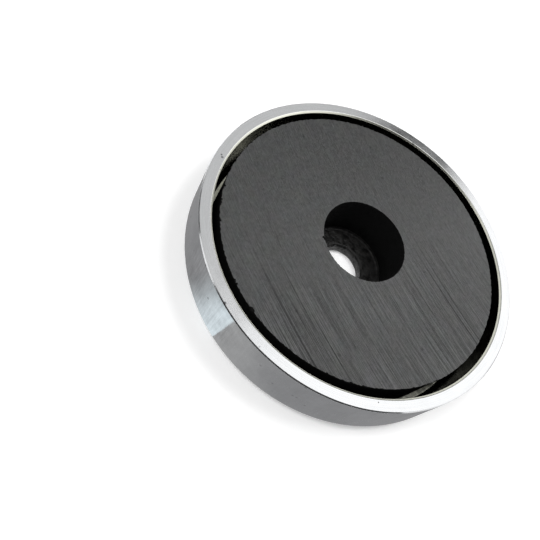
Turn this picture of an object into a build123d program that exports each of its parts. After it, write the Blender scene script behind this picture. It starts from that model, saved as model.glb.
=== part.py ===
from build123d import *

import os

# Ferrite pot magnet, 80 mm across, lying on its closed back.
# A ferrite ring is glued into a deep-drawn steel cup. The cup carries the ring's flux from its
# closed back round to its rim, so the rim and the ring's face are the holding side.
# Frame: millimetres, +Z out of the open side, origin in the middle of the closed back.

# Cup, drawn from one sheet, so its wall and its floor share one thickness
cup_diameter = 80.0
cup_depth = 16.0
sheet_thickness = 3.0
inside_corner_radius = 1.0
screw_hole_diameter = 11.5

# Edges of the cup: rolled in where the punch enters the back, bevelled where they are deburred
pierced_edge_radius = 0.8
hole_floor_bevel = 0.2
rim_outer_bevel = 0.25
rim_inner_bevel = 0.4

# Ferrite ring
air_gap = 2.0
ring_bore_diameter = 21.0
ring_below_rim = 0.3
ring_bevel = 0.2

# Cured adhesive: a bed under the ring, and a thin film inside its bore with a bead at the wall
bed_thickness = 0.3
film_thickness = 0.15
film_edge_to_hole = 1.2
bead_height = 0.8
bead_width = 0.45

# Radii and levels that follow from the sizes above
cup_radius = cup_diameter / 2
cup_inner_radius = cup_radius - sheet_thickness
outside_corner_radius = inside_corner_radius + sheet_thickness
screw_hole_radius = screw_hole_diameter / 2
floor_level = sheet_thickness

ring_radius = cup_inner_radius - air_gap
ring_bore_radius = ring_bore_diameter / 2
ring_bottom = floor_level + bed_thickness
ring_top = cup_depth - ring_below_rim

bed_radius = ring_radius - ring_bevel
film_inner_radius = screw_hole_radius + film_edge_to_hole
film_top = floor_level + film_thickness


def edged(section, finish, sizes):
    """Fillet or chamfer the corners of a half section, from the size that each corner gets."""
    for corner, size in sizes.items():
        section = finish(section.vertices().sort_by_distance(corner)[0], size)
    return section


def turned(section):
    """Turn a half section, drawn with X as radius and Y as height, about the Z axis."""
    return revolve(Plane.XZ * section, axis=Axis.Z)


def steel_cup():
    """The drawn cup: one sheet round its corner, ground rim, hole pierced from the back."""
    hole_back = (screw_hole_radius, 0)
    back_corner = (cup_radius, 0)
    rim_outer = (cup_radius, cup_depth)
    rim_inner = (cup_inner_radius, cup_depth)
    floor_corner = (cup_inner_radius, floor_level)
    hole_floor = (screw_hole_radius, floor_level)
    section = Polygon(
        hole_back, back_corner, rim_outer, rim_inner, floor_corner, hole_floor, align=None
    )
    rounds = {
        hole_back: pierced_edge_radius,
        back_corner: outside_corner_radius,
        floor_corner: inside_corner_radius,
    }
    bevels = {
        rim_outer: rim_outer_bevel,
        rim_inner: rim_inner_bevel,
        hole_floor: hole_floor_bevel,
    }
    return turned(edged(edged(section, fillet, rounds), chamfer, bevels))


def ferrite_ring():
    """The pressed ring, with its ground face a little below the rim."""
    corners = [
        (ring_bore_radius, ring_bottom),
        (ring_radius, ring_bottom),
        (ring_radius, ring_top),
        (ring_bore_radius, ring_top),
    ]
    section = Polygon(*corners, align=None)
    return turned(edged(section, chamfer, {corner: ring_bevel for corner in corners}))


def adhesive_bed():
    """The glue: a bed under all of the ring, and a film and a bead inside the bore."""
    section = Polygon(
        (film_inner_radius, floor_level),
        (bed_radius, floor_level),
        (bed_radius, ring_bottom),
        (ring_bore_radius, ring_bottom),
        (ring_bore_radius, film_top + bead_height),
        (ring_bore_radius - bead_width, film_top),
        (film_inner_radius, film_top),
        align=None,
    )
    return turned(section)


parts = {
    "steel_cup": steel_cup(),
    "ferrite_ring": ferrite_ring(),
    "adhesive_bed": adhesive_bed(),
}

os.makedirs("parts", exist_ok=True)
for name, solid in parts.items():
    export_step(solid, f"parts/{name}.step")
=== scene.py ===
import math

import bpy
from mathutils import Matrix, Vector


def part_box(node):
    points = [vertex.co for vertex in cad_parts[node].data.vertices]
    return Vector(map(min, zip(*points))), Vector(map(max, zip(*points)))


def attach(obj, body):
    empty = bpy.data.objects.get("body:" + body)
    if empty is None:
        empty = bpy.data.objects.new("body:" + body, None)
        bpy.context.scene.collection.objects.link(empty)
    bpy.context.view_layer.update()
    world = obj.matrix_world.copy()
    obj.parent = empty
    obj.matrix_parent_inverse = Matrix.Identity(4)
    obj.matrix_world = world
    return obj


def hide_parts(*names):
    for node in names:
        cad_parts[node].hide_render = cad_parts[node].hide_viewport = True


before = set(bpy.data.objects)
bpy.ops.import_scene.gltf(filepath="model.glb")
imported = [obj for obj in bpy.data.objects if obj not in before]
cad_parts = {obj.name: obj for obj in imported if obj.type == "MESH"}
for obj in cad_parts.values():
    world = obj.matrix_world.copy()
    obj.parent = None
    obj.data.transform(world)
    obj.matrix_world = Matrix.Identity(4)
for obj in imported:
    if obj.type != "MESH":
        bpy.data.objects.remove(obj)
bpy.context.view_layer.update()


# Steel cup. One disc of 3 mm steel sheet, deep drawn to a cup and pierced from its back. The rim
# was then faced flat on a lathe, and the whole cup plated bright. It lies on its closed back and
# carries the other two pieces.
cup_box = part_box("steel_cup")
cup_radius = cup_box[1].x
cup_depth = cup_box[1].z
sheet_thickness = 0.003
cup_inner_radius = cup_radius - sheet_thickness
inside_corner_radius = 0.0010
outside_corner_radius = inside_corner_radius + sheet_thickness
screw_hole_radius = 0.00575
ring_bore_radius = 0.0105
pierced_edge_radius = 0.0008
hole_floor_edge = 0.0002
rim_outer_edge = 0.00025
rim_inner_edge = 0.0004
rim_inner_blend = 0.0003
bevel_softness = 0.00005
flat_margin = 0.0002
cup_segments = 720
sharp_angle = math.radians(40)

plating_colour = (0.80, 0.81, 0.82)
inner_plating_change = (0.08, 0.07, -0.06)
plating_relief = 0.000004
peel_scale = 900.0
wall_streak_scales = (160.0, 1600.0, 1600.0)
scuffed_heading = math.radians(248)
# Heading toward which the painted shade in the gap is darkest
gap_shade_heading = math.radians(335)
# Heading of the side of the inner bevel that carries the painted highlight
bevel_highlight_heading = math.radians(315)
# Single marks on the rim and the wall, each as its x, y, z and radius
rim_marks = [
    (-0.03645, -0.01261, 0.016, 0.00028),
    (-0.03371, -0.01582, 0.016, 0.00022),
    (-0.01086, -0.03820, 0.016, 0.00045),
    (0.02476, -0.02887, 0.016, 0.00020),
]
wall_pits = [
    (0.00286, -0.03990, 0.01164, 0.00040),
    (0.00724, -0.03934, 0.00877, 0.00035),
    (0.01182, -0.03821, 0.00926, 0.00040),
    (0.01267, -0.03794, 0.00938, 0.00040),
    (0.01521, -0.03700, 0.00761, 0.00035),
]


def outline_points(corners):
    """Points of a closed half section, from (radius, height, blend radius, steps) corners.

    Each run between two blends has a point a little inside both of its ends, which keeps the
    shading of the blends off the flat between them.
    """
    points = []
    count = len(corners)
    for i, (r, z, blend, steps) in enumerate(corners):
        here = Vector((r, z))
        before = (Vector(corners[i - 1][:2]) - here).normalized()
        after = (Vector(corners[(i + 1) % count][:2]) - here).normalized()
        half = before.angle(after) / 2
        centre = here + (before + after).normalized() * blend / math.sin(half)
        reach = blend / math.tan(half)
        first = here + before * reach - centre
        turn = first.angle_signed(here + after * reach - centre)
        margin = min(flat_margin, blend)
        points.append(here + before * (reach + margin))
        for k in range(steps + 1):
            points.append(centre + Matrix.Rotation(-turn * k / steps, 2) @ first)
        points.append(here + after * (reach + margin))
    return points


def outline_mesh(points, path_radius):
    """An outline as a closed loop of edges, laid as the sweep needs it: X outwards, Y down."""
    mesh = bpy.data.meshes.new("outline")
    count = len(points)
    mesh.from_pydata(
        [(p.x - path_radius, -p.y, 0) for p in points],
        [(i, (i + 1) % count) for i in range(count)],
        [],
    )
    return mesh


def new_node(tree, kind, inputs=None, **settings):
    """A node in the tree, with its settings made and each input set or linked."""
    node = tree.nodes.new(kind)
    for name, value in settings.items():
        setattr(node, name, value)
    for name, value in (inputs or {}).items():
        if isinstance(value, bpy.types.NodeSocket):
            tree.links.new(value, node.inputs[name])
        else:
            node.inputs[name].default_value = value
    return node


def maths(tree, operation, *values):
    """The output of a Math node."""
    return new_node(tree, "ShaderNodeMath", dict(enumerate(values)), operation=operation).outputs[0]


def product(tree, *values):
    """All of the values multiplied."""
    total = values[0]
    for value in values[1:]:
        total = maths(tree, "MULTIPLY", total, value)
    return total


def without(tree, mask):
    """1 where a mask is 0, and 0 where it is 1."""
    return maths(tree, "SUBTRACT", 1.0, mask)


def layered(tree, base, layers):
    """A base with layers added to it, each as its (mask, amount)."""
    for mask, amount in layers:
        base = maths(tree, "MULTIPLY_ADD", mask, amount, base)
    return base


def vectors(tree, operation, *values):
    """The output of a Vector Math node: a number where the operation gives one."""
    node = new_node(tree, "ShaderNodeVectorMath", dict(enumerate(values)), operation=operation)
    gives_number = operation in ("LENGTH", "DISTANCE", "DOT_PRODUCT")
    return node.outputs["Value" if gives_number else "Vector"]


def combined(tree, **axes):
    """A vector put together from its X, Y and Z, each 0 where it isn't given."""
    return new_node(tree, "ShaderNodeCombineXYZ", axes).outputs[0]


def split(tree, vector):
    """The X, Y and Z of a vector."""
    return new_node(tree, "ShaderNodeSeparateXYZ", {"Vector": vector}).outputs


def about_axis(tree, place):
    """The X, Y and Z of a place, its level part, its radius from the cup's axis and its outward
    direction there.
    """
    axes = split(tree, place)
    level = combined(tree, X=axes["X"], Y=axes["Y"])
    return axes, level, vectors(tree, "LENGTH", level), vectors(tree, "NORMALIZE", level)


def facing(tree, outward, heading):
    """How far an outward direction points along a heading: 1 along it, -1 against it."""
    x = maths(tree, "COSINE", heading)
    y = maths(tree, "SINE", heading)
    return vectors(tree, "DOT_PRODUCT", outward, combined(tree, X=x, Y=y))


def ramp(tree, value, start, end, to_start=0.0, to_end=1.0):
    """A value eased from one range to another, and held at its ends."""
    values = {
        "Value": value,
        "From Min": start,
        "From Max": end,
        "To Min": to_start,
        "To Max": to_end,
    }
    node = new_node(tree, "ShaderNodeMapRange", values, interpolation_type="SMOOTHSTEP")
    return node.outputs["Result"]


def noise(tree, place, scale, detail, roughness=0.5, seed=None):
    """The value of a noise, with a seed where a piece's shape hangs on it."""
    values = {"Vector": place, "Scale": scale, "Detail": detail, "Roughness": roughness}
    if seed is None:
        return new_node(tree, "ShaderNodeTexNoise", values).outputs[0]
    values["W"] = seed
    return new_node(tree, "ShaderNodeTexNoise", values, noise_dimensions="4D").outputs[0]


def new_tree(name, kind, inputs, outputs):
    """An empty node tree with named inputs and outputs, and its inputs to link from."""
    tree = bpy.data.node_groups.new(name, kind)
    for label, socket in inputs.items():
        tree.interface.new_socket(label, in_out="INPUT", socket_type="NodeSocket" + socket)
    for label, socket in outputs.items():
        tree.interface.new_socket(label, in_out="OUTPUT", socket_type="NodeSocket" + socket)
    return tree, new_node(tree, "NodeGroupInput").outputs


def turned_form_tree():
    """Sweeps an outline round a circle, as a lathe would, and smooths all but its sharp edges."""
    inputs = {
        "Geometry": "Geometry",
        "Segments": "Int",
        "Path Radius": "Float",
        "Sharp Angle": "Float",
        "Material": "Material",
    }
    tree, given = new_tree("Turned form", "GeometryNodeTree", inputs, {"Geometry": "Geometry"})
    outline = new_node(tree, "GeometryNodeMeshToCurve", {"Mesh": given["Geometry"]})
    circle = new_node(
        tree,
        "GeometryNodeCurvePrimitiveCircle",
        {"Resolution": given["Segments"], "Radius": given["Path Radius"]},
    )
    swept = new_node(
        tree,
        "GeometryNodeCurveToMesh",
        {"Curve": circle.outputs["Curve"], "Profile Curve": outline.outputs["Curve"]},
    )
    angle = new_node(tree, "GeometryNodeInputMeshEdgeAngle")
    soft = new_node(
        tree,
        "FunctionNodeCompare",
        {"A": angle.outputs["Unsigned Angle"], "B": given["Sharp Angle"]},
        operation="LESS_THAN",
    )
    shaded = new_node(
        tree,
        "GeometryNodeSetShadeSmooth",
        {"Geometry": swept.outputs["Mesh"], "Shade Smooth": soft.outputs["Result"]},
        domain="EDGE",
    )
    real = new_node(tree, "GeometryNodeRealizeInstances", {"Geometry": shaded.outputs["Geometry"]})
    finished = new_node(
        tree,
        "GeometryNodeSetMaterial",
        {"Geometry": real.outputs["Geometry"], "Material": given["Material"]},
    )
    new_node(tree, "NodeGroupOutput", {"Geometry": finished.outputs["Geometry"]})
    return tree


def worked(name, mesh, steps):
    """A piece made by running node trees, each with its inputs, one after another on a mesh."""
    blank = bpy.data.objects.new(name + "_blank", mesh)
    bpy.context.scene.collection.objects.link(blank)
    for tree, values in steps:
        modifier = blank.modifiers.new(tree.name, "NODES")
        modifier.node_group = tree
        for item in tree.interface.items_tree:
            if item.in_out == "INPUT" and item.name in values:
                modifier[item.identifier] = values[item.name]
    evaluated = blank.evaluated_get(bpy.context.evaluated_depsgraph_get())
    made = bpy.data.meshes.new_from_object(evaluated)
    bpy.data.objects.remove(blank)
    made.name = name
    piece = bpy.data.objects.new(name, made)
    bpy.context.scene.collection.objects.link(piece)
    return piece


def machining_marks_group():
    """Fine strokes along X, one every Stroke Width in Y, and a few deeper ones among them."""
    inputs = {"Vector": "Vector", "Stroke Length": "Float", "Stroke Width": "Float"}
    outputs = {"Marks": "Float", "Scratches": "Float"}
    tree, given = new_tree("Machining marks", "ShaderNodeTree", inputs, outputs)
    along = maths(tree, "DIVIDE", 1.0, given["Stroke Length"])
    across = maths(tree, "DIVIDE", 1.0, given["Stroke Width"])
    scales = combined(tree, X=along, Y=across, Z=along)
    fine_place = vectors(tree, "MULTIPLY", given["Vector"], scales)
    fine = noise(tree, fine_place, 1.0, 3.0, 0.6)
    deep_place = vectors(tree, "MULTIPLY_ADD", fine_place, (0.7, 0.8, 0.7), (31.0, 7.0, 12.0))
    deep = noise(tree, deep_place, 1.0, 1.0)
    masks = {"Marks": ramp(tree, fine, 0.32, 0.68), "Scratches": ramp(tree, deep, 0.66, 0.72)}
    new_node(tree, "NodeGroupOutput", masks)
    return tree


def blotches_group():
    """Soft cloudy patches, and small specks such as pits or dirt, as two masks."""
    inputs = {
        "Vector": "Vector",
        "Patch Size": "Float",
        "Speck Spacing": "Float",
        "Speck Share": "Float",
    }
    outputs = {"Patches": "Float", "Specks": "Float"}
    tree, given = new_tree("Blotches and specks", "ShaderNodeTree", inputs, outputs)
    patch_scale = maths(tree, "DIVIDE", 1.0, given["Patch Size"])
    patches = noise(tree, given["Vector"], patch_scale, 4.0, 0.55)
    speck_scale = maths(tree, "DIVIDE", 1.0, given["Speck Spacing"])
    cell_values = {"Vector": given["Vector"], "Scale": speck_scale}
    cells = new_node(tree, "ShaderNodeTexVoronoi", cell_values).outputs
    lot = new_node(tree, "ShaderNodeSeparateColor", {"Color": cells["Color"]}).outputs
    chosen = maths(tree, "LESS_THAN", lot[0], given["Speck Share"])
    reach = ramp(tree, lot[1], 0.0, 1.0, 0.10, 0.24)
    inside = maths(tree, "MULTIPLY", reach, 0.55)
    near = ramp(tree, cells["Distance"], inside, reach, 1.0, 0.0)
    masks = {"Patches": ramp(tree, patches, 0.3, 0.7), "Specks": product(tree, near, chosen)}
    new_node(tree, "NodeGroupOutput", masks)
    return tree


def effect(tree, group, place, **sizes):
    """A shared effect placed in a material with its own sizes."""
    node = new_node(tree, "ShaderNodeGroup", node_tree=group)
    tree.links.new(place, node.inputs["Vector"])
    for name, value in sizes.items():
        node.inputs[name.replace("_", " ").title()].default_value = value
    return node.outputs


def marks(tree, place, spots):
    """A mask of single small marks, from their (x, y, z, radius)."""
    mask = 0.0
    for x, y, z, radius in spots:
        apart = vectors(tree, "DISTANCE", place, (x, y, z))
        mask = maths(tree, "MAXIMUM", ramp(tree, apart, 0.4 * radius, radius, 1.0, 0.0), mask)
    return mask


def new_material(name):
    """A material, with its node tree and its shader."""
    material = bpy.data.materials.new(name)
    material.use_nodes = True
    return material, material.node_tree, material.node_tree.nodes["Principled BSDF"]


def object_place(tree):
    """The Object coordinates."""
    return new_node(tree, "ShaderNodeTexCoord").outputs["Object"]


def finish_surface(material, colour, roughness, relief, depth):
    """Feeds a material's shader with its colour, its roughness and a relief of some depth."""
    tree = material.node_tree
    shader = tree.nodes["Principled BSDF"]
    tree.links.new(colour, shader.inputs["Base Color"])
    tree.links.new(roughness, shader.inputs["Roughness"])
    bump_values = {"Strength": 1.0, "Distance": depth, "Height": relief}
    bump = new_node(tree, "ShaderNodeBump", bump_values)
    tree.links.new(bump.outputs[0], shader.inputs["Normal"])


turned_form = turned_form_tree()
machining_marks = machining_marks_group()
blotches = blotches_group()


def plated_steel_material():
    """Bright plating: turned rim, drawn wall, mirror corner and satin back."""
    material, tree, shader = new_material("bright_plating")
    place = object_place(tree)
    axes, _, radius, outward = about_axis(tree, place)

    # The cup's own places: rim, back, outer wall, floor in the bore, gap and inner bevel
    rim = ramp(tree, axes["Z"], cup_depth - 0.00012, cup_depth - 0.00002)
    back = ramp(tree, axes["Z"], 0.00003, 0.0004, 1.0, 0.0)
    outside = ramp(tree, radius, cup_radius - 0.0004, cup_radius - 0.0001)
    wall = product(tree, outside, ramp(tree, axes["Z"], 0.002, 0.005))
    in_bore = ramp(tree, radius, ring_bore_radius - 0.0001, ring_bore_radius, 1.0, 0.0)
    inside = ramp(tree, radius, cup_inner_radius + 0.0001, cup_inner_radius + 0.0006, 1.0, 0.0)
    above_floor = ramp(tree, axes["Z"], 0.0025, 0.0029)
    inner = product(tree, without(tree, in_bore), inside, above_floor)
    bevel_foot = cup_depth - rim_inner_edge
    below_bevel = ramp(tree, axes["Z"], bevel_foot - 0.0001, bevel_foot, 1.0, 0.0)
    in_gap = product(tree, inner, below_bevel)
    bevelled = maths(tree, "SUBTRACT", maths(tree, "SUBTRACT", inner, in_gap), rim)
    bevelled = maths(tree, "MAXIMUM", bevelled, 0.0)

    # How they were made, what has got on them since, painted shade in the gap, and a darker bore
    ring_place = combined(tree, X=axes["X"], Y=radius, Z=axes["Y"])
    turning = effect(tree, machining_marks, ring_place, stroke_length=0.012, stroke_width=0.00022)
    turned = product(tree, turning["Marks"], rim)
    wall_place = combined(tree, X=axes["Z"], Y=axes["X"], Z=axes["Y"])
    drawn = noise(tree, vectors(tree, "MULTIPLY", wall_place, wall_streak_scales), 1.0, 3.0, 0.6)
    stains = effect(
        tree, blotches, place, patch_size=0.005, speck_spacing=0.0024, speck_share=0.07
    )
    clouds = effect(tree, blotches, place, patch_size=0.006)
    peel = noise(tree, place, peel_scale, 2.0)
    patchy = layered(tree, 1.0, [(peel, -0.06)])
    # The plating inside the bore, on the floor round the screw hole and down the hole's wall, is
    # made nearly black and rougher
    bore_blackening = product(tree, in_bore, ramp(tree, axes["Z"], 0.0002, 0.0010), patchy)
    # Painted shade: the plating in the gap between the cup's wall and the ring is made darker, most
    # on one side and mottled; the mask dull holds this painted shade
    gap_shade_side = ramp(tree, facing(tree, outward, gap_shade_heading), 0.2, 0.9, 0.30, 0.55)
    dull = product(tree, in_gap, layered(tree, gap_shade_side, [(peel, 0.5)]))
    scuffed = product(tree, ramp(tree, facing(tree, outward, scuffed_heading), 0.95, 0.99), wall)
    line_strength = layered(tree, 0.12, [(scuffed, 0.45)])
    lines = product(tree, maths(tree, "SUBTRACT", drawn, 0.5), line_strength, wall)
    mottle_strength = layered(tree, 0.10, [(scuffed, 0.16)])
    mottle = maths(tree, "SUBTRACT", clouds["Patches"], 0.6)
    mottle = product(tree, mottle, mottle_strength, wall)

    tone_layers = [
        (stains["Patches"], 0.05),
        (turned, 0.06),
        (lines, 1.0),
        (mottle, 1.0),
        (stains["Specks"], -0.5),
        (marks(tree, place, rim_marks), -0.7),
        (marks(tree, place, wall_pits), -0.2),
    ]
    tone = layered(tree, 0.90, tone_layers)
    # The darker bore and the painted shade in the gap are taken off the tone here
    tone = product(tree, tone, without(tree, bore_blackening), without(tree, dull))
    plating = vectors(tree, "MULTIPLY_ADD", inner, inner_plating_change, plating_colour)
    colour = vectors(tree, "MULTIPLY", plating, tone)
    roughness_layers = [
        (stains["Patches"], 0.08),
        (rim, 0.08),
        (back, 0.22),
        (lines, 0.5),
        (bore_blackening, 0.2),
        (in_gap, 0.08),
        (bevelled, 0.20),
    ]
    roughness = layered(tree, 0.09, roughness_layers)
    relief = layered(tree, peel, [(turned, 0.3), (lines, 3.0), (stains["Specks"], -1.0)])
    finish_surface(material, colour, roughness, relief, plating_relief)

    # Painted highlight: on one side of the inner bevel the plating is made mostly non-metallic, so
    # that its pale colour shows as a light line; satin marks that side
    satin = ramp(tree, facing(tree, outward, bevel_highlight_heading), -0.6, 0.3)
    metallic = layered(tree, 1.0, [(product(tree, satin, bevelled), -0.85)])
    tree.links.new(metallic, shader.inputs["Metallic"])
    return material


cup_outline = outline_points(
    [
        (screw_hole_radius, 0, pierced_edge_radius, 8),
        (screw_hole_radius, sheet_thickness, hole_floor_edge, 4),
        (cup_inner_radius, sheet_thickness, inside_corner_radius, 8),
        (cup_inner_radius, cup_depth - rim_inner_edge, bevel_softness, 3),
        (cup_inner_radius + rim_inner_edge, cup_depth, rim_inner_blend, 6),
        (cup_radius - rim_outer_edge, cup_depth, bevel_softness, 3),
        (cup_radius, cup_depth - rim_outer_edge, bevel_softness, 3),
        (cup_radius, 0, outside_corner_radius, 20),
    ]
)
cup_making = {
    "Segments": cup_segments,
    "Path Radius": cup_radius / 2,
    "Sharp Angle": sharp_angle,
    "Material": plated_steel_material(),
}
cup = worked("cup_shell", outline_mesh(cup_outline, cup_radius / 2), [(turned_form, cup_making)])
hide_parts("steel_cup")
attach(cup, "root")


# Ferrite ring. Pressed from ferrite powder and sintered to one hard, brittle ring. Its faces were
# ground flat under a large wheel, which left small chips along its edges; its sides kept their
# black sintered skin. It is glued to the floor of the cup, clear of the wall.
ring_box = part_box("ferrite_ring")
ring_radius = ring_box[1].x
ring_bottom = ring_box[0].z
ring_top = ring_box[1].z
ring_lower_edge = 0.0002
ring_segments = 1000
ring_seat = (-0.00020, -0.00028, 0.0)
chip_reach = 0.0011
chip_rows = 9
chip_row_spread = 1.4

grinding_radius = 0.290
grinding_centre = (0.1039, 0.2707, 0.0)
strong_stroke_side = (0.85, -0.53, 0)
ground_colour = (0.88, 0.91, 0.90)
ground_tint = (0.2, 0.2, 0.2)
ground_relief = 0.000035
tint_scale = 350.0
darkest_tone = 0.004
ground_ior = 1.75
skin_colour = (1.0, 1.0, 1.0)
skin_relief = 0.00003
skin_grain_scale = 1500.0
skin_ior = 1.2
face_pits = [
    (-0.01615, 0.02361, 0.0157, 0.00045),
    (-0.02883, 0.00963, 0.0157, 0.00045),
    (-0.02434, -0.01093, 0.0157, 0.00050),
]


def ring_outline():
    """The ring's half section, with close rows of points beside its two upper edges."""
    shares = [k / chip_rows for k in range(1, chip_rows + 1)]
    rows = [chip_reach * share ** chip_row_spread for share in shares]
    bore = [Vector((ring_bore_radius, ring_top - row)) for row in reversed(rows)]
    bore.append(Vector((ring_bore_radius, ring_top)))
    face = [Vector((ring_bore_radius + row, ring_top)) for row in rows]
    face += [Vector((ring_radius - row, ring_top)) for row in reversed(rows)]
    side = [Vector((ring_radius, ring_top))]
    side += [Vector((ring_radius, ring_top - row)) for row in rows]
    lower = [
        Vector((ring_radius, ring_bottom + ring_lower_edge)),
        Vector((ring_radius - ring_lower_edge, ring_bottom)),
        Vector((ring_bore_radius + ring_lower_edge, ring_bottom)),
        Vector((ring_bore_radius, ring_bottom + ring_lower_edge)),
    ]
    return bore + face + side + lower


def seated(tree, geometry, seat):
    """Shifts a piece sideways, as a ring that was set down by hand in its cup sits."""
    moved = new_node(tree, "GeometryNodeSetPosition", {"Geometry": geometry, "Offset": seat})
    return new_node(tree, "GeometryNodeRealizeInstances", {"Geometry": moved.outputs[0]}).outputs[0]


def chipped_edges_tree():
    """Breaks small chips out of the two upper edges, more of them on the Worn Heading side."""
    inputs = {
        "Geometry": "Geometry",
        "Outer Radius": "Float",
        "Bore Radius": "Float",
        "Top": "Float",
        "Reach": "Float",
        "Chip Size": "Float",
        "Chip Scale": "Float",
        "Edge Break": "Float",
        "Crumb Scale": "Float",
        "Worn Heading": "Float",
        "Seed": "Float",
        "Seat": "Vector",
        "Ground Face": "Material",
        "Skin": "Material",
    }
    tree, given = new_tree("Chipped edges", "GeometryNodeTree", inputs, {"Geometry": "Geometry"})
    position = new_node(tree, "GeometryNodeInputPosition").outputs[0]
    axes, _, radius, outward = about_axis(tree, position)

    from_outside = maths(tree, "ABSOLUTE", maths(tree, "SUBTRACT", radius, given["Outer Radius"]))
    from_bore = maths(tree, "ABSOLUTE", maths(tree, "SUBTRACT", radius, given["Bore Radius"]))
    from_top = maths(tree, "SUBTRACT", given["Top"], axes["Z"])
    from_edge = maths(tree, "ADD", maths(tree, "MINIMUM", from_outside, from_bore), from_top)

    # The noise is read on the edge itself, so that a chip has one depth from its edge inwards
    at_bore = maths(tree, "LESS_THAN", from_bore, from_outside)
    to_bore = maths(tree, "SUBTRACT", given["Bore Radius"], given["Outer Radius"])
    edge_radius = maths(tree, "MULTIPLY_ADD", to_bore, at_bore, given["Outer Radius"])
    on_edge = vectors(tree, "MULTIPLY", outward, edge_radius)
    chips = noise(tree, on_edge, given["Chip Scale"], 3.0, 0.6, given["Seed"])
    crumbs = noise(tree, on_edge, given["Crumb Scale"], 3.0, 0.6, given["Seed"])
    worn = facing(tree, outward, given["Worn Heading"])
    threshold = ramp(tree, worn, -0.4, 0.9, 0.68, 0.56)
    chip = ramp(tree, chips, threshold, maths(tree, "ADD", threshold, 0.12))
    chip = product(tree, chip, given["Chip Size"])
    broken = product(tree, given["Edge Break"], maths(tree, "MULTIPLY_ADD", at_bore, -0.7, 1.0))
    depth = maths(tree, "MULTIPLY_ADD", ramp(tree, crumbs, 0.4, 0.75), broken, chip)
    cut = maths(tree, "MAXIMUM", maths(tree, "SUBTRACT", depth, from_edge), 0.0)
    cut = maths(tree, "MULTIPLY", cut, 0.5)
    inward = product(tree, cut, maths(tree, "MULTIPLY_ADD", at_bore, 2.0, -1.0))
    sideways = vectors(tree, "MULTIPLY", outward, inward)
    down = combined(tree, Z=maths(tree, "MULTIPLY", cut, -1.0))
    chipped_values = {
        "Geometry": given["Geometry"],
        "Selection": maths(tree, "LESS_THAN", from_edge, given["Reach"]),
        "Offset": vectors(tree, "ADD", sideways, down),
    }
    chipped = new_node(tree, "GeometryNodeSetPosition", chipped_values)

    real = seated(tree, chipped.outputs[0], given["Seat"])
    ground_values = {"Geometry": real, "Material": given["Ground Face"]}
    ground = new_node(tree, "GeometryNodeSetMaterial", ground_values)
    normal = new_node(tree, "GeometryNodeInputNormal").outputs[0]
    upright = maths(tree, "ABSOLUTE", split(tree, normal)["Z"])
    skinned_values = {
        "Geometry": ground.outputs[0],
        "Selection": maths(tree, "LESS_THAN", upright, 0.9),
        "Material": given["Skin"],
    }
    skinned = new_node(tree, "GeometryNodeSetMaterial", skinned_values)
    new_node(tree, "NodeGroupOutput", {"Geometry": skinned.outputs[0]})
    return tree


def ground_ferrite_material():
    """The ground faces: dark grey, with a wheel's long strokes, pits, a few smudges, and painted
    shading across them.
    """
    material, tree, shader = new_material("ferrite_ground")
    shader.inputs["IOR"].default_value = ground_ior
    place = object_place(tree)
    axes = split(tree, place)

    # The strokes run round the grinding wheel's centre
    from_wheel = vectors(tree, "SUBTRACT", place, grinding_centre)
    swept = split(tree, from_wheel)
    along = product(tree, maths(tree, "ARCTAN2", swept["Y"], swept["X"]), grinding_radius)
    strokes_at = combined(tree, X=along, Y=vectors(tree, "LENGTH", from_wheel))
    fine = effect(tree, machining_marks, strokes_at, stroke_length=0.020, stroke_width=0.00014)
    broad = effect(tree, machining_marks, strokes_at, stroke_length=0.030, stroke_width=0.0007)
    scored = effect(tree, machining_marks, strokes_at, stroke_length=0.090, stroke_width=0.0006)
    short = effect(tree, machining_marks, strokes_at, stroke_length=0.0025, stroke_width=0.00028)
    stains = effect(
        tree, blotches, place, patch_size=0.0007, speck_spacing=0.0021, speck_share=0.06
    )

    to_strong_side = vectors(tree, "DOT_PRODUCT", place, strong_stroke_side)
    strong = ramp(tree, to_strong_side, -0.006, 0.026, 0.20, 1.30)
    scores = product(tree, scored["Scratches"], strong)
    stroke_layers = [(fine["Marks"], 0.080), (broad["Marks"], 0.020), (scores, -0.075)]
    strokes = layered(tree, -0.050, stroke_layers)
    tone_layers = [
        (strokes, strong),
        (short["Marks"], 0.018),
        # Painted shading: the face is made lighter towards +X and darker towards +Y
        (ramp(tree, axes["X"], 0.002, 0.020), 0.005),
        (ramp(tree, axes["Y"], -0.020, 0.028), -0.010),
        (stains["Patches"], 0.020),
        (stains["Specks"], -0.03),
        (marks(tree, place, face_pits), -0.03),
    ]
    tone = maths(tree, "MAXIMUM", layered(tree, 0.021, tone_layers), darkest_tone)
    tint_values = {"Vector": place, "Scale": tint_scale, "Detail": 2.0}
    tint = new_node(tree, "ShaderNodeTexNoise", tint_values).outputs["Color"]
    tinted = vectors(tree, "MULTIPLY_ADD", tint, ground_tint, ground_colour)
    colour = vectors(tree, "MULTIPLY", tinted, tone)
    roughness = layered(tree, 0.36, [(fine["Marks"], 0.10)])
    stroke_relief = layered(tree, fine["Marks"], [(broad["Marks"], 2.0), (scores, -2.0)])
    relief_layers = [(stroke_relief, strong), (stains["Specks"], -1.0)]
    relief = layered(tree, short["Marks"], relief_layers)
    finish_surface(material, colour, roughness, relief, ground_relief)
    return material


def ferrite_skin_material():
    """The sides and the bore, as they came from the furnace: black, dull and a little grainy."""
    material, tree, shader = new_material("ferrite_skin")
    shader.inputs["IOR"].default_value = skin_ior
    grain = noise(tree, object_place(tree), skin_grain_scale, 4.0)
    colour = vectors(tree, "MULTIPLY", skin_colour, ramp(tree, grain, 0.3, 0.7, 0.003, 0.008))
    roughness = ramp(tree, grain, 0.3, 0.7, 0.6, 0.8)
    finish_surface(material, colour, roughness, grain, skin_relief)
    return material


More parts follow.
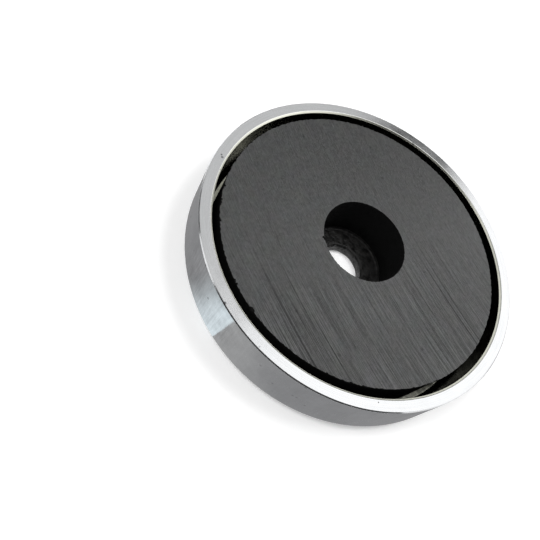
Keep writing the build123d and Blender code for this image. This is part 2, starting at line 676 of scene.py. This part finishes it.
ground_ferrite = ground_ferrite_material()
ring_making = {
    "Segments": ring_segments,
    "Path Radius": ring_radius / 2,
    "Sharp Angle": sharp_angle,
    "Material": ground_ferrite,
}
ring_chipping = {
    "Outer Radius": ring_radius,
    "Bore Radius": ring_bore_radius,
    "Top": ring_top,
    "Reach": chip_reach,
    "Chip Size": 0.0006,
    "Chip Scale": 420.0,
    "Edge Break": 0.0003,
    "Crumb Scale": 1400.0,
    "Worn Heading": math.radians(240),
    "Seed": 3.0,
    "Seat": ring_seat,
    "Ground Face": ground_ferrite,
    "Skin": ferrite_skin_material(),
}
ring = worked(
    "ferrite_ring_body",
    outline_mesh(ring_outline(), ring_radius / 2),
    [(turned_form, ring_making), (chipped_edges_tree(), ring_chipping)],
)
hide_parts("ferrite_ring")
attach(ring, "root")


# Adhesive. Black glue was poured on the floor of the cup and the ring pressed into it, so it is a
# thin bed under the ring, and inside the bore a squeezed-out film and bead that set unevenly. Some
# of it ran over the edge of the screw hole and hangs on the hole's wall.
glue_floor = sheet_thickness
glue_bed_radius = ring_radius - ring_lower_edge
glue_bed_top = ring_bottom
glue_run_thickness = 0.00060
glue_run_bottom = 0.0003
glue_run_back = screw_hole_radius + 0.0004
glue_film_top = glue_floor + 0.00015
glue_film_start = screw_hole_radius + 0.0003
glue_bead_height = 0.0008
glue_bead_width = 0.00045
glue_segments = 360
glue_film_steps = 14
glue_bead_steps = 5
glue_sharp_angle = math.radians(60)
glue_colour = (1.0, 0.98, 0.95)
glue_relief = 0.00014
hair = 1e-6


def glue_outline():
    """The run on the hole's wall, the film, the bead's hollow slope up the bore, and the bed."""
    thick = glue_run_thickness
    points = [
        Vector((glue_run_back, glue_run_bottom)),
        Vector((screw_hole_radius - 0.5 * thick, glue_run_bottom)),
        Vector((screw_hole_radius - 0.9 * thick, glue_run_bottom + 0.0004)),
        Vector((screw_hole_radius - thick, glue_run_bottom + 0.0009)),
        Vector((screw_hole_radius - 0.8 * thick, glue_floor - 0.0006)),
        Vector((screw_hole_radius - 0.4 * thick, glue_floor - 0.0001)),
        Vector((screw_hole_radius + 0.0001, glue_floor + 0.0001)),
    ]
    bead_foot = ring_bore_radius - glue_bead_width
    for k in range(glue_film_steps):
        share = k / glue_film_steps
        reach = glue_film_start + share * (bead_foot - glue_film_start)
        points.append(Vector((reach, glue_film_top)))
    for k in range(glue_bead_steps + 1):
        turned_by = math.pi / 2 * k / glue_bead_steps
        run = math.sin(turned_by) * glue_bead_width
        rise = (1 - math.cos(turned_by)) * glue_bead_height
        points.append(Vector((bead_foot + run, glue_film_top + rise)))
    points += [
        Vector((ring_bore_radius, glue_bed_top)),
        Vector((glue_bed_radius, glue_bed_top)),
        Vector((glue_bed_radius, glue_floor)),
        Vector((glue_run_back, glue_floor)),
    ]
    return points


def uneven_glue_tree():
    """Waves the film and the bead, and thins the run in the hole away from the Run Heading."""
    inputs = {
        "Geometry": "Geometry",
        "Hole Radius": "Float",
        "Bore Radius": "Float",
        "Floor": "Float",
        "Wave Height": "Float",
        "Wave Scale": "Float",
        "Lump Scale": "Float",
        "Run Heading": "Float",
        "Seed": "Float",
        "Seat": "Vector",
        "Material": "Material",
    }
    tree, given = new_tree("Uneven glue", "GeometryNodeTree", inputs, {"Geometry": "Geometry"})
    position = new_node(tree, "GeometryNodeInputPosition").outputs[0]
    axes, level, radius, outward = about_axis(tree, position)
    waves = noise(tree, level, given["Wave Scale"], 3.0, seed=given["Seed"])
    in_bore = maths(tree, "LESS_THAN", radius, maths(tree, "SUBTRACT", given["Bore Radius"], hair))
    above_floor = maths(tree, "GREATER_THAN", axes["Z"], maths(tree, "ADD", given["Floor"], hair))
    loose = product(tree, in_bore, above_floor)
    rise = product(tree, maths(tree, "SUBTRACT", waves, 0.5), given["Wave Height"])
    up = combined(tree, Z=product(tree, rise, loose))

    run_side = facing(tree, outward, given["Run Heading"])
    lumps = noise(tree, position, given["Lump Scale"], 3.0, seed=given["Seed"])
    lumpy = product(tree, ramp(tree, run_side, -0.4, 0.8, 0.2, 0.85), lumps)
    kept = layered(tree, ramp(tree, run_side, -0.4, 0.8, 0.1, 0.6), [(lumpy, 0.6)])
    depth = maths(tree, "SUBTRACT", given["Hole Radius"], radius)
    depth = maths(tree, "MAXIMUM", depth, 0.0)
    thinning = product(tree, depth, without(tree, kept))
    shift = vectors(tree, "ADD", vectors(tree, "MULTIPLY", outward, thinning), up)
    moved_values = {"Geometry": given["Geometry"], "Offset": shift}
    moved = new_node(tree, "GeometryNodeSetPosition", moved_values)
    real = seated(tree, moved.outputs[0], given["Seat"])
    finished_values = {"Geometry": real, "Material": given["Material"]}
    finished = new_node(tree, "GeometryNodeSetMaterial", finished_values)
    new_node(tree, "NodeGroupOutput", {"Geometry": finished.outputs[0]})
    return tree


def glue_material():
    """Cured black glue: smooth and shiny in places, dusty in others, and darker down in the hole as
    painted shade.
    """
    material, tree, shader = new_material("cured_glue")
    place = object_place(tree)
    dust = effect(tree, blotches, place, patch_size=0.0016, speck_spacing=0.0015, speck_share=0.2)
    # Painted shade: the glue that runs down into the screw hole is made half as bright
    run = ramp(tree, split(tree, place)["Z"], glue_floor - 0.0012, glue_floor, 1.0, 0.0)
    tone = layered(tree, 0.004, [(dust["Patches"], 0.014), (dust["Specks"], 0.02)])
    tone = product(tree, tone, layered(tree, 1.0, [(run, -0.5)]))
    colour = vectors(tree, "MULTIPLY", glue_colour, tone)
    roughness = layered(tree, 0.30, [(dust["Patches"], 0.25)])
    finish_surface(material, colour, roughness, dust["Patches"], glue_relief)
    return material


cured_glue = glue_material()
glue_making = {
    "Segments": glue_segments,
    "Path Radius": ring_bore_radius,
    "Sharp Angle": glue_sharp_angle,
    "Material": cured_glue,
}
glue_setting = {
    "Hole Radius": screw_hole_radius,
    "Bore Radius": ring_bore_radius,
    "Floor": glue_floor,
    "Wave Height": 0.00016,
    "Wave Scale": 450.0,
    "Lump Scale": 500.0,
    "Run Heading": math.radians(115),
    "Seed": 5.0,
    "Seat": ring_seat,
    "Material": cured_glue,
}
glue = worked(
    "glue_bed",
    outline_mesh(glue_outline(), ring_bore_radius),
    [(turned_form, glue_making), (uneven_glue_tree(), glue_setting)],
)
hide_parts("adhesive_bed")
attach(glue, "root")


# Studio. A pale table in a white room, with a soft lamp high on the left and another on the
# right. Glowing cards that only reflections see stand round the cup, and glowing sheets that only
# reflections see lie at its foot, to give bright metal its tones. The sheets are painted
# reflections: of the floor's shade round the cup, darkest under it, and of a pale patch of light.
floor_half = 3.0
floor_grey = 0.80
floor_glow = 0.31
floor_fill = 0.60
floor_even_from = 0.15
floor_even_to = 1.0
room_light = 0.35
card_eye = Vector((0, -0.0930, cup_depth - 0.1017))
reflection_sheet_near = 0.030
reflection_sheet_far = 0.100
reflection_sheet_steps = 36
# Where the sheets' glow drops under the cup, and how far, as painted shadow
contact_start = 0.036
contact_end = 0.0405
contact_shadow_glow = 0.1
# Tones of the painted reflections on the sheets: shade, lighter shade and a pale patch of light
reflected_shade_tone = (0.29, 0.29, 0.295)
reflected_mid_shade_tone = (0.41, 0.41, 0.41)
reflected_light_tone = (0.84, 0.93, 0.97)
lamp_distance = 0.9
lamp_size = 0.26


def seen_rays(tree):
    """1 for the rays that show a background: straight, mirrored and through glass."""
    path = new_node(tree, "ShaderNodeLightPath").outputs
    seen = maths(tree, "MAXIMUM", path["Is Camera Ray"], path["Is Glossy Ray"])
    return maths(tree, "MAXIMUM", seen, path["Is Transmission Ray"])


def floor_paper_material():
    """White paper that keeps the shadow, and glows more the farther it is from the object."""
    material, tree, shader = new_material("floor_paper")
    shader.inputs["Base Color"].default_value = (floor_grey, floor_grey, floor_grey, 1)
    shader.inputs["Roughness"].default_value = 1
    shader.inputs["Specular IOR Level"].default_value = 0
    shader.inputs["Emission Color"].default_value = (1, 1, 1, 1)
    far_off = vectors(tree, "LENGTH", object_place(tree))
    far_glow = floor_glow + floor_fill
    evened = ramp(tree, far_off, floor_even_from, floor_even_to, floor_glow, far_glow)
    glow = product(tree, seen_rays(tree), evened)
    tree.links.new(glow, shader.inputs["Emission Strength"])
    return material


floor_mesh = bpy.data.meshes.new("floor")
floor_mesh.from_pydata(
    [
        (-floor_half, -floor_half, 0),
        (floor_half, -floor_half, 0),
        (floor_half, floor_half, 0),
        (-floor_half, floor_half, 0),
    ],
    [],
    [(0, 1, 2, 3)],
)
floor_mesh.materials.append(floor_paper_material())
floor = bpy.data.objects.new("floor", floor_mesh)
bpy.context.scene.collection.objects.link(floor)

world = bpy.data.worlds.new("white_room")
bpy.context.scene.world = world
world.use_nodes = True
room = world.node_tree.nodes["Background"]
room.inputs["Color"].default_value = (1, 1, 1, 1)
room_strength = ramp(world.node_tree, seen_rays(world.node_tree), 0.0, 1.0, room_light, 1.0)
world.node_tree.links.new(room_strength, room.inputs["Strength"])


def reflection_only(name, mesh, paint):
    """A stage object of the mesh that only mirrored rays see."""
    mesh.materials.append(paint)
    made = bpy.data.objects.new(name, mesh)
    bpy.context.scene.collection.objects.link(made)
    made.visible_camera = False
    made.visible_diffuse = False
    made.visible_shadow = False


def glowing_paint(name, strength):
    """A paint that only gives off light, at one strength."""
    paint, _, face = new_material(name)
    face.inputs["Base Color"].default_value = (0, 0, 0, 1)
    face.inputs["Specular IOR Level"].default_value = 0
    face.inputs["Emission Color"].default_value = (strength, strength, strength, 1)
    face.inputs["Emission Strength"].default_value = 1
    return paint


def toward(azimuth, elevation):
    """A unit vector toward an azimuth, from +X round to +Y, and an elevation, in degrees."""
    level = math.cos(math.radians(elevation))
    x = level * math.cos(math.radians(azimuth))
    y = level * math.sin(math.radians(azimuth))
    return Vector((x, y, math.sin(math.radians(elevation))))


def card(name, corners, distance, strength):
    """A flat card whose corners lie in (azimuth from +Y to +X, elevation) degrees, as the rim
    mirrors them, from the camera's own image in the rim.
    """
    places = [toward(90 - azimuth, elevation) for azimuth, elevation in corners]
    points = [card_eye + distance * place for place in places]
    mesh = bpy.data.meshes.new(name)
    mesh.from_pydata(points, [], [tuple(range(len(points)))])
    reflection_only(name, mesh, glowing_paint(name, strength))


card("grey_card", [(-36, 30), (4, 30), (4, 37), (-8, 62), (-9, 68), (-36, 68)], 0.7, 0.65)
card("stripe_card", [(-6.5, 30), (1.2, 30), (1.2, 42), (-4.8, 45), (-12, 51), (-9, 42)], 0.6, 0.02)
card("bright_card", [(5, 25), (60, 20), (60, 75), (-5, 75), (-5, 62)], 0.8, 1.3)
card("side_card", [(-110, 5), (4, 5), (4, 33), (-9, 66), (-20, 80), (-110, 80)], 2.5, 0.15)
card("back_card", [(95, 5), (222, 5), (222, 55), (95, 55)], 2.5, 0.06)


def reflection_sheet_round(name, start, end, height, start_tone, end_tone):
    """A glowing sheet round the cup, from one heading to another, that only the cup's wall mirrors,
    as a painted reflection of the floor's shade and light there. Its glow fades under the cup, as
    a painted shadow.
    """
    shares = [k / reflection_sheet_steps for k in range(reflection_sheet_steps + 1)]
    turns = [math.radians(start + (end - start) * share) for share in shares]
    ways = [Vector((math.cos(turn), math.sin(turn), 0)) for turn in turns]
    lift = Vector((0, 0, height))
    points = [reflection_sheet_far * way + lift for way in ways]
    points += [reflection_sheet_near * way + lift for way in reversed(ways)]
    last = len(points) - 1
    mesh = bpy.data.meshes.new(name)
    faces = [(k, k + 1, last - 1 - k, last - k) for k in range(reflection_sheet_steps)]
    mesh.from_pydata(points, [], faces)

    paint = glowing_paint(name, 1.0)
    tree = paint.node_tree
    place = object_place(tree)
    axes = split(tree, place)
    turned_by = maths(tree, "ARCTAN2", axes["Y"], axes["X"])
    fade = ramp(tree, turned_by, math.radians(start - 360), math.radians(end - 360))
    change = Vector(end_tone) - Vector(start_tone)
    tone = vectors(tree, "MULTIPLY_ADD", fade, change, start_tone)
    radius = vectors(tree, "LENGTH", place)
    # Painted shadow: the sheet's glow drops to a tenth under the cup
    level = ramp(tree, radius, contact_start, contact_end, contact_shadow_glow, 1.0)
    glow = vectors(tree, "MULTIPLY", tone, level)
    tree.links.new(glow, tree.nodes["Principled BSDF"].inputs["Emission Color"])
    reflection_only(name, mesh, paint)


# Painted reflections: a grey sheet for the floor's shade all round, a pale one for a patch of
# light, and a mid grey one beside it
reflection_sheet_round("floor_shade_reflection", 0, 360, 0.00003, reflected_shade_tone, reflected_shade_tone)
reflection_sheet_round("light_patch_reflection", 233, 257, 0.00005, reflected_shade_tone, reflected_light_tone)
reflection_sheet_round("mid_shade_reflection", 257, 290, 0.00004, reflected_mid_shade_tone, reflected_shade_tone)


def soft_lamp(name, azimuth, elevation, energy):
    """A square soft lamp that faces the object, unseen by mirrored rays."""
    lamp = bpy.data.lights.new(name, "AREA")
    lamp.shape = "SQUARE"
    lamp.size = lamp_size
    lamp.energy = energy
    made = bpy.data.objects.new(name, lamp)
    away = toward(azimuth, elevation)
    made.location = lamp_distance * away
    made.rotation_euler = away.to_track_quat("Z", "Y").to_euler()
    made.visible_glossy = False
    bpy.context.scene.collection.objects.link(made)


soft_lamp("left_lamp", 231, 61.5, 3.4)
soft_lamp("right_lamp", 53, 73, 3.15)


# Camera. Close over the open side, a little to one side, and rolled, as the photograph was taken.
lens_mm = 38.98
sensor_mm = 36
nearest_seen = 0.005
camera_side = -0.0007
camera_back = 0.0927
camera_above_rim = 0.1014
heading = math.radians(7.65)
looking_down = math.radians(56.08)
roll = math.radians(39.12)
camera_data = bpy.data.cameras.new("camera")
camera_data.lens = lens_mm
camera_data.sensor_width = sensor_mm
camera_data.clip_start = nearest_seen
camera = bpy.data.objects.new("camera", camera_data)
bpy.context.scene.collection.objects.link(camera)
camera_turn = (
    Matrix.Rotation(heading, 4, "Z")
    @ Matrix.Rotation(math.pi / 2 - looking_down, 4, "X")
    @ Matrix.Rotation(roll, 4, "Z")
)
camera_place = (camera_side, -camera_back, cup_depth + camera_above_rim)
camera.matrix_world = Matrix.Translation(camera_place) @ camera_turn
bpy.context.scene.camera = camera
bpy.context.scene.view_settings.view_transform = "Standard"
